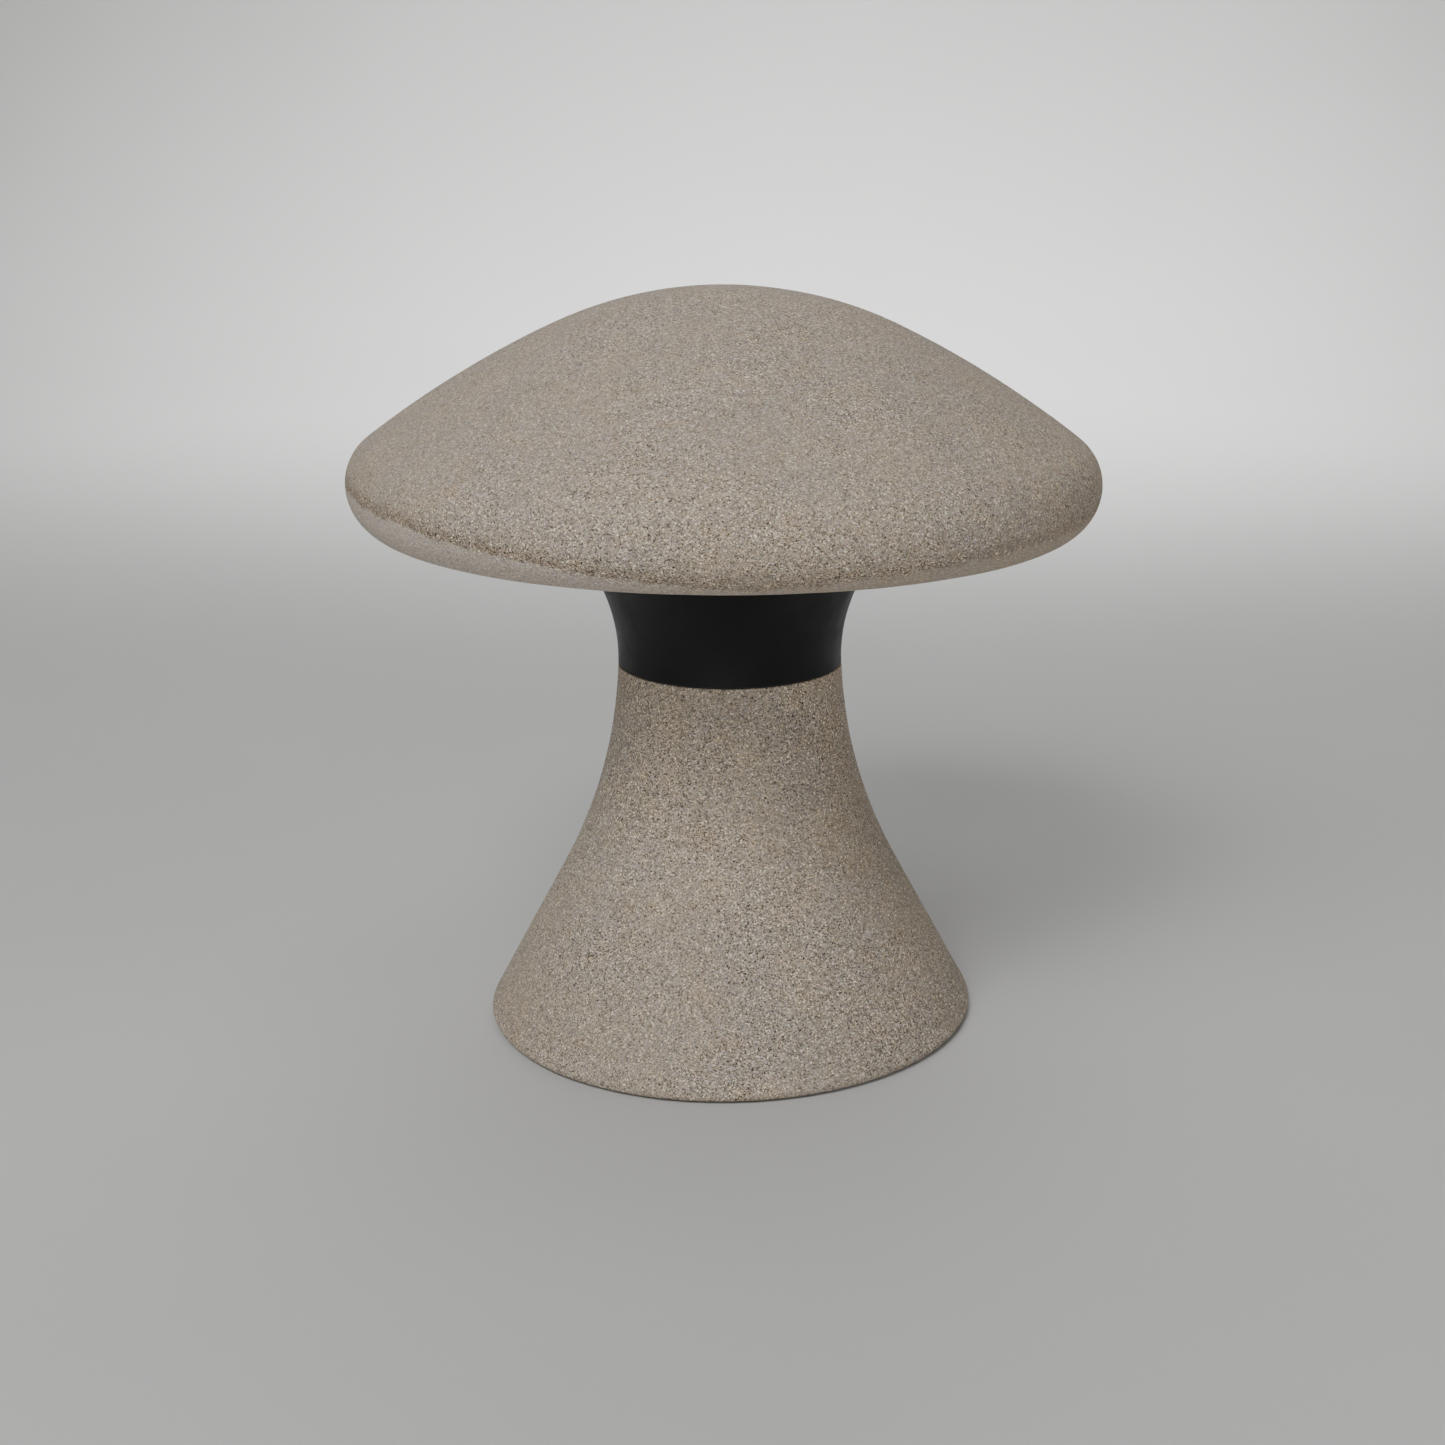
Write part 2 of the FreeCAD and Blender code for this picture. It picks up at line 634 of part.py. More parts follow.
def make_driver_case():
    """A tub, open to the back, with two screw bosses on its front wall and a hole at each end."""
    pilot_radius, pilot_end, socket_depth = 2.0, -5.0, 3.0
    w = DRIVER_WALL
    tub = block((-DRIVER_X, DRIVER_X), (-DRIVER_Y, DRIVER_Y - SHEET), (DRIVER_LOW, DRIVER_TOP))
    hollow_x = (-DRIVER_X + w, DRIVER_X - w)
    hollow = block(hollow_x, (-DRIVER_Y + w, DRIVER_Y), (DRIVER_LOW + w, DRIVER_TOP - w))
    bosses = [peg(DRIVER_BOSS, 0, z, -DRIVER_Y + w, BOARD_FACE) for z in DRIVER_SCREW_HEIGHTS]
    holes = [peg(pilot_radius, 0, z, -DRIVER_Y - OVER, pilot_end) for z in DRIVER_SCREW_HEIGHTS]
    holes.append(cylinder(DRIVER_BOSS, DRIVER_LOW - OVER, DRIVER_LOW + socket_depth))
    holes.append(cylinder(DRIVER_BOSS, DRIVER_TOP - socket_depth, DRIVER_TOP + OVER))
    return joined(tub.cut(hollow), *bosses).cut(group(holes))


def make_driver_cover():
    fit, tongue_depth = 0.2, 1.0
    lid = block((-DRIVER_X, DRIVER_X), (DRIVER_Y - SHEET, DRIVER_Y), (DRIVER_LOW, DRIVER_TOP))
    w = DRIVER_WALL + fit
    tongue_x = (-DRIVER_X + w, DRIVER_X - w)
    tongue_y = (DRIVER_Y - SHEET - tongue_depth, DRIVER_Y - SHEET)
    tongue = block(tongue_x, tongue_y, (DRIVER_LOW + w, DRIVER_TOP - w))
    return joined(lid, tongue)


def make_driver_board():
    half_width, margin = 16.5, 10.0
    thick = (BOARD_FACE, BOARD_FACE + BOARD_THICK)
    return block((-half_width, half_width), thick, (DRIVER_LOW + margin, DRIVER_TOP - margin))


def make_driver_components():
    """Transformer, choke, transistor and two capacitors, standing on the board."""
    face = BOARD_FACE + BOARD_THICK
    transformer = block((-9, 9), (face, 7.5), (112, 130))
    choke = block((-14, -4), (face, 6.5), (136, 147))
    transistor = block((4, 14), (face, 3.0), (136, 148))
    can_radius, can_length, can_x, can_z = 5.0, 8.5, 10.0, 90.0
    cans = [peg(can_radius, x, can_z, face, face + can_length) for x in (-can_x, can_x)]
    return group([transformer, choke, transistor, *cans])


def make_driver_bushes():
    """The tapered strain reliefs where the leads leave the driver."""
    plug = DRIVER_BOSS - 0.1
    top = DRIVER_TOP + BUSH_LENGTH
    low = DRIVER_LOW - BUSH_LENGTH
    upper = joined(cone(6.0, 4.6, DRIVER_TOP, top), cylinder(plug, DRIVER_TOP - DRIVER_WALL, DRIVER_TOP))
    lower = joined(cone(4.9, 6.2, low, DRIVER_LOW), cylinder(plug, DRIVER_LOW, DRIVER_LOW + DRIVER_WALL))
    upper = upper.cut(drill(OUTPUT_LEAD + CLEAR, DRIVER_TOP - DRIVER_WALL, top))
    lower = lower.cut(drill(INPUT_LEAD + CLEAR, low, DRIVER_LOW + DRIVER_WALL))
    return group([upper, lower])


# ---- leads ----

def lead(radius, bend, route):
    """A round lead along straight runs joined by tangent arcs of one bend radius."""
    points = [Vector(*p) for p in route]
    edges, at = [], points[0]
    for before, corner, after in zip(points, points[1:], points[2:]):
        back, ahead = (before - corner).normalize(), (after - corner).normalize()
        half_angle = back.getAngle(ahead) / 2
        reach = bend / math.tan(half_angle)
        first, last = corner + back * reach, corner + ahead * reach
        inward = (back + ahead).normalize()
        through = corner + inward * (bend / math.sin(half_angle) - bend)
        edges.append(Part.LineSegment(at, first).toShape())
        edges.append(Part.Arc(first, through, last).toShape())
        print(f"bend radius {edges[-1].Curve.Radius:.1f} mm")
        at = last
    edges.append(Part.LineSegment(at, points[-1]).toShape())
    path = Part.Wire(edges)
    circle = Part.Wire(Part.makeCircle(radius, points[0], points[1] - points[0]))
    solid = path.makePipeShell([circle], True, True)
    straight_volume = math.pi * radius ** 2 * path.Length
    print(f"length {path.Length:.1f} mm, volume over section x length {solid.Volume / straight_volume:.4f}")
    return solid


def make_output_lead():
    """From the driver up the neck, over the light housing and down to the light board."""
    return lead(OUTPUT_LEAD, OUTPUT_BEND, [
        (0, 0, DRIVER_TOP - DRIVER_WALL),
        (0, 0, LEAD_ARCH),
        (0, LEAD_CIRCLE, LEAD_ARCH),
        (0, LEAD_CIRCLE, PLATE_LOW - BOARD_THICK),
    ])


def make_input_lead():
    """From the junction box, in a slack loop round the hollow base, up to the driver."""
    return lead(INPUT_LEAD, INPUT_BEND, [
        (TERMINAL_X, GLAND_Y, GLAND_HEIGHT),
        (LOOP_X, GLAND_Y, GLAND_HEIGHT),
        (LOOP_X, 0, LOOP_LOW),
        (0, 0, LOOP_TOP),
        (0, 0, DRIVER_LOW + DRIVER_WALL),
    ])


# ---- ground plate and junction box ----

def make_ground_plate():
    pilot = 1.7
    plate = cylinder(GROUND_RADIUS, 0, PLATE_THICK)
    holes = [drill(CABLE_HOLE, 0, PLATE_THICK)]
    holes += around(drill(ANCHOR_HOLE, 0, PLATE_THICK), ANCHOR_ANGLES, ANCHOR_CIRCLE)
    holes += [drill(pilot, 0, PLATE_THICK, x, y) for x, y in BOX_SCREWS]
    return plate.cut(group(holes))


def make_foot_ring():
    inner, outer = 110.2, 117.8
    return ring(inner, outer, 0, GROOVE_TOP)


def at_skirt(shape):
    """A piece made along +Z from the lantern's middle, laid outwards at both locking screws."""
    return group(turned(laid_along_x(shape, 0, 0, SKIRT_SCREW_HEIGHT), a) for a in SKIRT_ANGLES)


def make_skirt_lugs():
    """Angle lugs, spot welded to the plate, that the locking screws pass through."""
    width, toe, height = (-11, 11), 6, 28
    face = LUG_RADIUS + PLATE_THICK
    foot = block((LUG_RADIUS - toe, face), width, (PLATE_THICK, PLATE_THICK + LUG_THICK))
    upright = block((face - LUG_THICK, face), width, (PLATE_THICK, height))
    thread = laid_along_x(drill(SKIRT_SCREW + CLEAR, LUG_RADIUS, face), 0, 0, SKIRT_SCREW_HEIGHT)
    lug = joined(foot, upright).cut(thread)
    return group(turned(lug, a) for a in SKIRT_ANGLES)


def make_skirt_bushes():
    """Sleeves cast into the stone that guide the locking screws."""
    length, below, gap = 10.0, 5.0, 0.5
    inner_end = wall_at(SKIRT_SCREW_HEIGHT - below, BASE_WALL) + gap
    return at_skirt(ring(SKIRT_SCREW + CLEAR, SKIRT_BUSH, inner_end, inner_end + length))


def make_skirt_screws():
    length, key, key_depth = 20.0, 3.0, 4.0
    low = LUG_RADIUS - OVER
    screw = cylinder(SKIRT_SCREW, low, low + length)
    return at_skirt(screw.cut(hexagon(key, low + length - key_depth, low + length + OVER)))


def box_corners(inset):
    xs = (-BOX_X + inset, BOX_X - inset)
    ys = (BOX_Y[0] + inset, BOX_Y[1] - inset)
    return [(x, y) for x in xs for y in ys]


def make_junction_box():
    w = BOX_WALL
    screw_hole, thread_depth, gland_hole = 2.0, 12, 6.0
    tub = block((-BOX_X, BOX_X), BOX_Y, (PLATE_THICK, BOX_TOP))
    hollow_y = (BOX_Y[0] + w, BOX_Y[1] - w)
    hollow = block((-BOX_X + w, BOX_X - w), hollow_y, (PLATE_THICK + w, BOX_TOP + OVER))
    corners = box_corners(BOX_PILLAR)
    pillars = [cylinder(BOX_PILLAR, PLATE_THICK, BOX_TOP, x, y) for x, y in corners]
    thread_low = BOX_TOP - thread_depth
    holes = [cylinder(LID_SCREW + CLEAR, thread_low, BOX_TOP + OVER, x, y) for x, y in corners]
    holes += [drill(screw_hole, PLATE_THICK, PLATE_THICK + w, x, y) for x, y in BOX_SCREWS]
    holes += [laid_along_x(drill(gland_hole, -BOX_X, BOX_X), 0, GLAND_Y, GLAND_HEIGHT)]
    return joined(tub.cut(hollow), *pillars).cut(group(holes))


def make_box_seal():
    inset = 2 * BOX_PILLAR
    hole = LID_SCREW + 0.2
    outer = block((-BOX_X, BOX_X), BOX_Y, (BOX_TOP, BOX_TOP + SEAL))
    inner_y = (BOX_Y[0] + inset, BOX_Y[1] - inset)
    inner = block((-BOX_X + inset, BOX_X - inset), inner_y, (BOX_TOP - OVER, BOX_TOP + 2))
    holes = [drill(hole, BOX_TOP, BOX_TOP + SEAL, x, y) for x, y in box_corners(BOX_PILLAR)]
    return outer.cut(group([inner, *holes]))


def make_box_lid():
    edge_round, hole, sink, sink_depth = 1.2, 1.6, 2.8, 2.0
    lid = block((-BOX_X, BOX_X), BOX_Y, (BOX_TOP + SEAL, LID_TOP))
    lid = lid.makeFillet(edge_round, [e for e in lid.Edges if e.CenterOfMass.z > LID_TOP - NEAR])
    holes = [drill(hole, BOX_TOP, LID_TOP, x, y) for x, y in box_corners(BOX_PILLAR)]
    holes += [cylinder(sink, LID_TOP - sink_depth, LID_TOP + OVER, x, y) for x, y in box_corners(BOX_PILLAR)]
    return lid.cut(group(holes))


def make_lid_screws():
    head_radius, sunk, head_low, grip = 2.6, 0.2, LID_TOP - 2, 9
    screws = []
    for x, y in box_corners(BOX_PILLAR):
        head = cylinder(head_radius, head_low, LID_TOP - sunk, x, y)
        shank = cylinder(LID_SCREW, BOX_TOP - grip, head_low, x, y)
        screws.append(joined(head, shank))
    return group(screws)


def make_box_screws():
    head_radius, head_height, tip = 3.2, 2.2, 0.5
    floor = PLATE_THICK + BOX_WALL
    screws = []
    for x, y in BOX_SCREWS:
        head = cylinder(head_radius, floor, floor + head_height, x, y)
        screws.append(joined(head, cylinder(BOX_SCREW, tip, floor, x, y)))
    return group(screws)


def make_terminal_block():
    front, back, height = 7.5, 11.5, 14
    wire_hole, wire_height, screw_hole, screw_low = 1.6, 5, 1.8, 6
    floor = PLATE_THICK + BOX_WALL
    body_y = (GLAND_Y - front, GLAND_Y + back)
    body = block((-TERMINAL_X, TERMINAL_X), body_y, (floor, floor + height))
    holes = []
    for y in TERMINAL_YS:
        holes.append(laid_along_x(drill(wire_hole, -TERMINAL_X, TERMINAL_X), 0, y, floor + wire_height))
        holes += [cylinder(screw_hole, floor + screw_low, floor + height + OVER, x, y) for x in TERMINAL_XS]
    return body.cut(group(holes))


def make_terminal_screws():
    radius, low, top = 1.7, 7, 12
    floor = PLATE_THICK + BOX_WALL
    return group(cylinder(radius, floor + low, floor + top, x, y) for x in TERMINAL_XS for y in TERMINAL_YS)


def both_glands(shape):
    """A gland piece made along +Z from the box's wall, placed on both ends of the box."""
    ends = ((BOX_X, 1), (-BOX_X, -1))
    return group(laid_along_x(shape, x, GLAND_Y, GLAND_HEIGHT, facing) for x, facing in ends)


def make_gland_bodies():
    across_flats, flange, tail, stub, seat_low, seat = 16.0, 4, -7, 11, 5, 5.4
    body = joined(
        hexagon(across_flats, 0, flange),
        cylinder(GLAND_TAIL, tail, 0),
        cylinder(GLAND_STUB, flange, stub),
    )
    holes = [drill(GLAND_BORE, tail, stub), cylinder(seat, seat_low, stub + OVER)]
    return both_glands(body.cut(group(holes)))


def make_gland_nuts():
    across_flats, low, skirt, hollow_top, top = 16.5, 4.5, 13, 13.5, 18
    nut = joined(hexagon(across_flats, low, skirt), cone(8.0, 5.6, skirt, top))
    hollow = cylinder(GLAND_STUB + 0.1, low - OVER, hollow_top)
    return both_glands(nut.cut(group([hollow, drill(GLAND_BORE, low, top)])))


def make_gland_seals():
    outer, low, top = 5.35, 5, 13.4
    return both_glands(ring(INPUT_LEAD + CLEAR, outer, low, top))


def make_gland_locknuts():
    across_flats, height = 15.0, 3.5
    low = -BOX_WALL - height
    return both_glands(hexagon(across_flats, low, -BOX_WALL).cut(drill(GLAND_TAIL + CLEAR, low, 0)))


PARTS = {
    "cap": make_cap,
    "base": make_base,
    "collar": make_collar,
    "light_housing": make_light_housing,
    "bezel": make_bezel,
    "bezel_screws": make_bezel_screws,
    "cap_inserts": make_cap_inserts,
    "cap_seal": make_cap_seal,
    "diffuser": make_diffuser,
    "diffuser_seal_inner": lambda: ring(*INNER_RIB, DIFFUSER_TOP, RIB_FOOT),
    "diffuser_seal_outer": lambda: ring(*OUTER_RIB, DIFFUSER_TOP, RIB_FOOT),
    "led_board": make_led_board,
    "led_packages": make_led_packages,
    "board_screws": make_board_screws,
    "board_connector": make_board_connector,
    "hub_seal": make_hub_seal,
    "hub_grommet": make_hub_grommet,
    "board_grommet": make_board_grommet,
    "vent_plug": make_vent_plug,
    "collar_screws": make_collar_screws,
    "collar_washers": make_collar_washers,
    "neck_gasket": make_neck_gasket,
    "tie_rods": make_tie_rods,
    "tie_washers": make_tie_washers,
    "tie_nuts": make_tie_nuts,
    "clamp_plate": make_clamp_plate,
    "clamp_pad": make_clamp_pad,
    "driver_bracket": make_driver_bracket,
    "bracket_screw": make_bracket_screw,
    "driver_screws": make_driver_screws,
    "driver_case": make_driver_case,
    "driver_cover": make_driver_cover,
    "driver_board": make_driver_board,
    "driver_components": make_driver_components,
    "driver_bushes": make_driver_bushes,
    "output_lead": make_output_lead,
    "input_lead": make_input_lead,
    "ground_plate": make_ground_plate,
    "skirt_lugs": make_skirt_lugs,
    "skirt_bushes": make_skirt_bushes,
    "skirt_screws": make_skirt_screws,
    "foot_ring": make_foot_ring,
    "junction_box": make_junction_box,
    "box_seal": make_box_seal,
    "box_lid": make_box_lid,
    "lid_screws": make_lid_screws,
    "box_screws": make_box_screws,
    "terminal_block": make_terminal_block,
    "terminal_screws": make_terminal_screws,
    "gland_bodies": make_gland_bodies,
    "gland_nuts": make_gland_nuts,
    "gland_seals": make_gland_seals,
    "gland_locknuts": make_gland_locknuts,
}


def main():
    os.makedirs("parts", exist_ok=True)
    for name, make in PARTS.items():
        shape = make()
        problem = "" if shape.isValid() and shape.Volume > 0 else "  NOT VALID"
        print(f"{name}: {len(shape.Solids)} solids, {shape.Volume / 1000:.2f} cm3{problem}")
        shape.exportStep(f"parts/{name}.step")


main()
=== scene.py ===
import json
import math

import bmesh
import bpy
from mathutils import Euler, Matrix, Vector, noise


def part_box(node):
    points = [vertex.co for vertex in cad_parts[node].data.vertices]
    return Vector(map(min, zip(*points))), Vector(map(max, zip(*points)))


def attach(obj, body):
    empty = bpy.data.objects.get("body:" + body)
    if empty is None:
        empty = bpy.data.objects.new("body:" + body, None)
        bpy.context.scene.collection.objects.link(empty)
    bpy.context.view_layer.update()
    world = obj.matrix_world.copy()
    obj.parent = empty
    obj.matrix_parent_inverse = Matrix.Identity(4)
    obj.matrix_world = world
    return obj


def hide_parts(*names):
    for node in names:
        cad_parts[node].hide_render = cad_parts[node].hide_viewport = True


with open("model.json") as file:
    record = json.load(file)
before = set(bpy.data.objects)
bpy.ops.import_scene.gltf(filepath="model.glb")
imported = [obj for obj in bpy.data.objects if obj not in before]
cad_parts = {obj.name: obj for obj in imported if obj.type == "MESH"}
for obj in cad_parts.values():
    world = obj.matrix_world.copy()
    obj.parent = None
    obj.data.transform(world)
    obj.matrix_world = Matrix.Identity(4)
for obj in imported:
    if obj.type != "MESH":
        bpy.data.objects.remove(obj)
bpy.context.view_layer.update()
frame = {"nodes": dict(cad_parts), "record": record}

# A mushroom-shaped garden lantern in sandy cast stone with a black collar. Metres, +Z up, front -Y.
MM = 0.001
UP = math.pi / 2
SEGMENTS = 480            # round the axis

# Curves of the outline, as in the frame
CAP_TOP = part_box("cap")[1].z
CAP_RADIUS = 179.0 * MM
CROWN_RADIUS = 196.0 * MM
CROWN_TILT = math.radians(25.6)
FLANK_TILT = math.radians(37.1)
RIM_RADIUS = 23.4 * MM
CAP_WALL = 18.0 * MM
CAP_RECESS = 150.0 * MM
CAP_CAVITY = 132.0 * MM
CAP_SEAT = 269.0 * MM
LIP_ROUND = 2.0 * MM

BASE_FOOT, BASE_TOP = (corner.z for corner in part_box("base"))
FOOT_RADIUS = 123.9 * MM
FOOT_ROUND = 3.0 * MM
TOP_ROUND = 0.6 * MM
FLANK_LEAN = math.radians(28.24)
NECK_RADIUS = 54.8 * MM
NECK_LEAN = math.radians(2.4)
NECK_HEIGHT = 181.0 * MM
BASE_WALL = 15.0 * MM
LEDGE = 112.0 * MM
NECK_BORE = 40.0 * MM
SOCKET = 47.2 * MM
SOCKET_FLOOR = 166.5 * MM
GROOVE = (110.0 * MM, 118.0 * MM, 2.5 * MM)          # inner radius, outer radius, top

# Holes in the stone
INSERT_HOLE = (3.4 * MM, 144.75 * MM, 14.0 * MM)     # radius, distance from the axis, depth
INSERT_ANGLES = range(0, 360, 60)
SCREW_HOLE = 5.0 * MM
SCREW_HEIGHT = 20.0 * MM
SCREW_ANGLES = (15, 165)

# Unevenness of the cast stone: depth and lump size
LUMPS = ((0.13 * MM, 42.0 * MM), (0.06 * MM, 15.0 * MM))
CREST = 0.5 * MM           # the cap's highest point stays as it is within this radius
EDGE_MARGIN = 0.5 * MM     # and so does the base within this height of its underside
PITS = (                   # bubbles in the surface: node, angle in degrees, height, radius, depth
    ("cap", -55.0, 251.4 * MM, 1.3 * MM, 1.0 * MM),
    ("cap", 118.0, 262.0 * MM, 1.6 * MM, 0.9 * MM),
    ("cap", 41.0, 301.0 * MM, 1.1 * MM, 0.6 * MM),
    ("base", 71.0, 57.0 * MM, 1.4 * MM, 0.8 * MM),
    ("base", -171.0, 33.0 * MM, 1.2 * MM, 0.7 * MM),
)
REFINED = (5, 3, 2)        # the mesh is made finer within these multiples of a bubble's radius


# ---- turned meshes ----

def arc(centre, radius, start, end, steps):
    """Points of (r, z) along an arc, with angles measured from +r towards +z."""
    turn = [start + (end - start) * i / steps for i in range(steps + 1)]
    return [(centre[0] + radius * math.cos(a), centre[1] + radius * math.sin(a)) for a in turn]


def line(start, end, steps=1):
    return [tuple(a + (b - a) * i / steps for a, b in zip(start, end)) for i in range(steps + 1)]


def merged(*runs):
    """One outline from several runs, without the points that two runs share."""
    outline = []
    for run in runs:
        for point in run:
            if not outline or math.dist(outline[-1], point) > 1e-6:
                outline.append(point)
    return outline


def new_object(name, mesh, sharp=40):
    bmesh.ops.recalc_face_normals(mesh, faces=mesh.faces)
    data = bpy.data.meshes.new(name)
    mesh.to_mesh(data)
    mesh.free()
    piece = bpy.data.objects.new(name, data)
    bpy.context.scene.collection.objects.link(piece)
    data.shade_smooth()
    data.set_sharp_from_angle(angle=math.radians(sharp))
    return piece


def turned(outline, closed_on_axis=False):
    """A mesh from an outline of (r, z) points, turned about Z. An outline that starts or ends on the
    axis is closed there by fans, and any other is joined end to end."""
    mesh = bmesh.new()
    rings = []
    for r, z in outline:
        if r < 1e-7:
            rings.append([mesh.verts.new((0, 0, z))])
            continue
        around = [2 * math.pi * i / SEGMENTS for i in range(SEGMENTS)]
        rings.append([mesh.verts.new((r * math.cos(a), r * math.sin(a), z)) for a in around])
    pairs = list(zip(rings, rings[1:]))
    if not closed_on_axis:
        pairs.append((rings[-1], rings[0]))
    for low, high in pairs:
        for i in range(SEGMENTS):
            j = (i + 1) % SEGMENTS
            if len(low) == 1:
                mesh.faces.new((low[0], high[j], high[i]))
            elif len(high) == 1:
                mesh.faces.new((low[i], low[j], high[0]))
            else:
                mesh.faces.new((low[i], low[j], high[j], high[i]))
    bmesh.ops.recalc_face_normals(mesh, faces=mesh.faces)
    return mesh


def roughened(mesh, outside):
    """Moves the outside of a stone in and out by fractions of a millimetre, as cast stone is."""
    mesh.normal_update()
    for vertex in mesh.verts:
        if outside(vertex.co):
            shift = sum(depth * noise.noise(vertex.co / size) for depth, size in LUMPS)
            vertex.co += vertex.normal * shift


def pitted(mesh, node, outside):
    """Sinks small bubbles into the surface where it passes through a given angle and height."""
    for owner, angle, height, radius, depth in PITS:
        if owner != node:
            continue
        heading = Vector(at_angle(1.0, angle, 0.0))
        goal = Vector((0, 0, height))
        near = [v.co for v in mesh.verts if outside(v.co) and v.co.dot(heading) > 0]
        centre = min(near, key=lambda co: (co - co.dot(heading) * heading - goal).length).copy()
        for reach in REFINED:
            edges = [e for e in mesh.edges if all((v.co - centre).length < reach * radius for v in e.verts)]
            bmesh.ops.subdivide_edges(mesh, edges=edges, cuts=2, use_grid_fill=True)
        mesh.normal_update()
        for vertex in mesh.verts:
            away = (vertex.co - centre).length / radius
            if away < 1:
                vertex.co -= vertex.normal * depth * (1 - away ** 2) ** 0.5


def drilled(piece, cutters):
    """Cuts holes in a piece. The cutters are closed meshes that are used up."""
    mesh = bmesh.new()
    for cutter in cutters:
        data = bpy.data.meshes.new("cutter")
        cutter.to_mesh(data)
        cutter.free()
        mesh.from_mesh(data)
        bpy.data.meshes.remove(data)
    tool = new_object("cutter", mesh)
    cut = piece.modifiers.new("holes", "BOOLEAN")
    cut.operation = "DIFFERENCE"
    cut.solver = "EXACT"
    cut.object = tool
    shown = piece.evaluated_get(bpy.context.evaluated_depsgraph_get())
    data = bpy.data.meshes.new_from_object(shown)
    piece.modifiers.remove(cut)
    piece.data = data
    bpy.data.objects.remove(tool)
    data.name = piece.name


def rod(radius, start, end, sides=48):
    """A closed cylinder between two points, as a mesh."""
    mesh = bmesh.new()
    along = Vector(end) - Vector(start)
    place = along.to_track_quat("Z", "Y").to_matrix().to_4x4()
    place.translation = (Vector(start) + Vector(end)) / 2
    bmesh.ops.create_cone(mesh, cap_ends=True, segments=sides, radius1=radius, radius2=radius,
                          depth=along.length, matrix=place)
    return mesh


def at_angle(radius, degrees, z):
    return (radius * math.cos(math.radians(degrees)), radius * math.sin(math.radians(degrees)), z)


def stands_for(piece, node):
    """Puts a piece in the place of a CAD node, on the lantern's one body."""
    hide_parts(node)
    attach(piece, "root")


# ---- the stone pieces ----

def cap_outline():
    rise = CROWN_RADIUS * math.sin(CROWN_TILT) + RIM_RADIUS * (1 - math.sin(FLANK_TILT))
    flank_radius = (CAP_RADIUS - rise) / (math.sin(FLANK_TILT) - math.sin(CROWN_TILT))
    crown = (0.0, CAP_TOP - CROWN_RADIUS)
    back = flank_radius - CROWN_RADIUS
    flank = (-back * math.sin(CROWN_TILT), crown[1] - back * math.cos(CROWN_TILT))
    rim = (CAP_RADIUS - RIM_RADIUS, flank[1] + (flank_radius - RIM_RADIUS) * math.cos(FLANK_TILT))
    lip = rim[1] - RIM_RADIUS
    inner = flank_radius - CAP_WALL
    edge = math.acos((CAP_CAVITY - flank[0]) / inner)
    dome = flank[1] + inner * math.sin(edge)
    corner = (CAP_RECESS + LIP_ROUND, lip + LIP_ROUND)
    return merged(
        [(0.0, CAP_TOP)],
        arc(crown, CROWN_RADIUS, UP, UP - CROWN_TILT, 40)[1:],
        arc(flank, flank_radius, UP - CROWN_TILT, UP - FLANK_TILT, 44),
        arc(rim, RIM_RADIUS, UP - FLANK_TILT, -UP, 32),
        arc(corner, LIP_ROUND, -UP, -math.pi, 6),
        line((CAP_RECESS, corner[1]), (CAP_RECESS, CAP_SEAT)),
        line((CAP_RECESS, CAP_SEAT), (CAP_CAVITY, CAP_SEAT)),
        line((CAP_CAVITY, CAP_SEAT), (CAP_CAVITY, dome)),
        arc(flank, inner, edge, UP - CROWN_TILT, 12),
        arc(crown, CROWN_RADIUS - CAP_WALL, UP - CROWN_TILT, UP, 10)[:-1],
        [(0.0, CAP_TOP - CAP_WALL)],
    )


